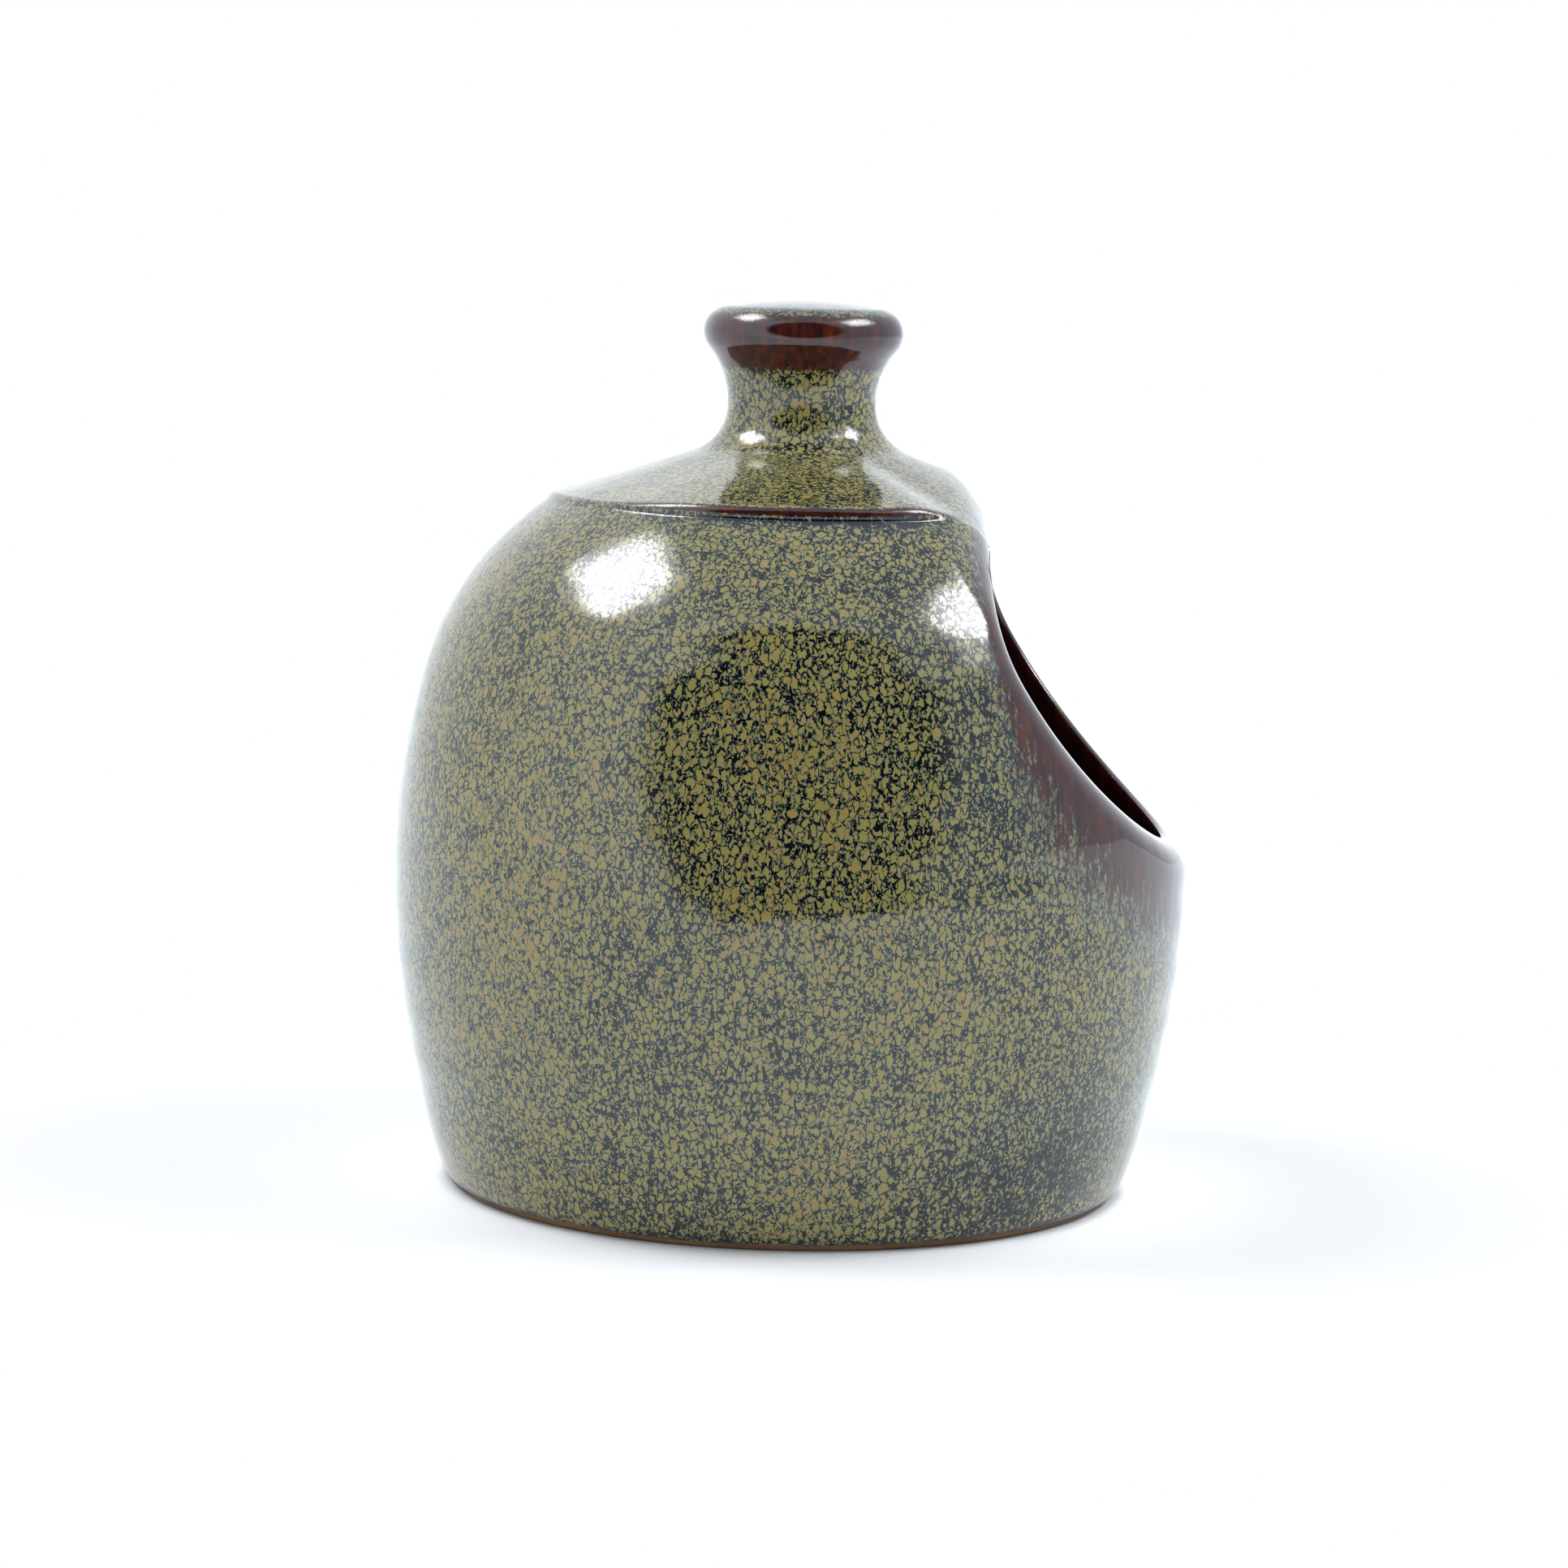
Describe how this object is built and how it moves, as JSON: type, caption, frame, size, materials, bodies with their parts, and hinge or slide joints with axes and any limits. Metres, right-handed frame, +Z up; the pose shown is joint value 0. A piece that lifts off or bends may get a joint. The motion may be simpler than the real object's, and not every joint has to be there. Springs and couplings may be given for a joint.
{
  "type": "stoneware salt jar",
  "caption": "Round-bellied glazed stoneware jar with a domed shoulder, a closed knob to lift it by and one large scooped opening on the side.",
  "frame": {"origin": "centre of the foot plane, on the axis the jar was turned about", "axes": "+Z up along the turning axis, +X towards the scooped opening"},
  "size_m": [0.14, 0.14, 0.156],
  "materials": {
    "bare_stoneware": "fired unglazed buff stoneware",
    "tea_dust_glaze": "glossy ochre and blue-black speckle, rust brown where thin",
    "dark_liner_glaze": "glossy near-black brown"
  },
  "bodies": {
    "root": {"foot_ring": "bare_stoneware", "base_disc": "bare_stoneware", "body_wall": "bare_stoneware", "shoulder": "bare_stoneware", "neck": "bare_stoneware", "knob": "bare_stoneware", "opening_rim": "bare_stoneware", "outer_glaze": "tea_dust_glaze", "liner_glaze": "dark_liner_glaze"}
  },
  "joints": []
}
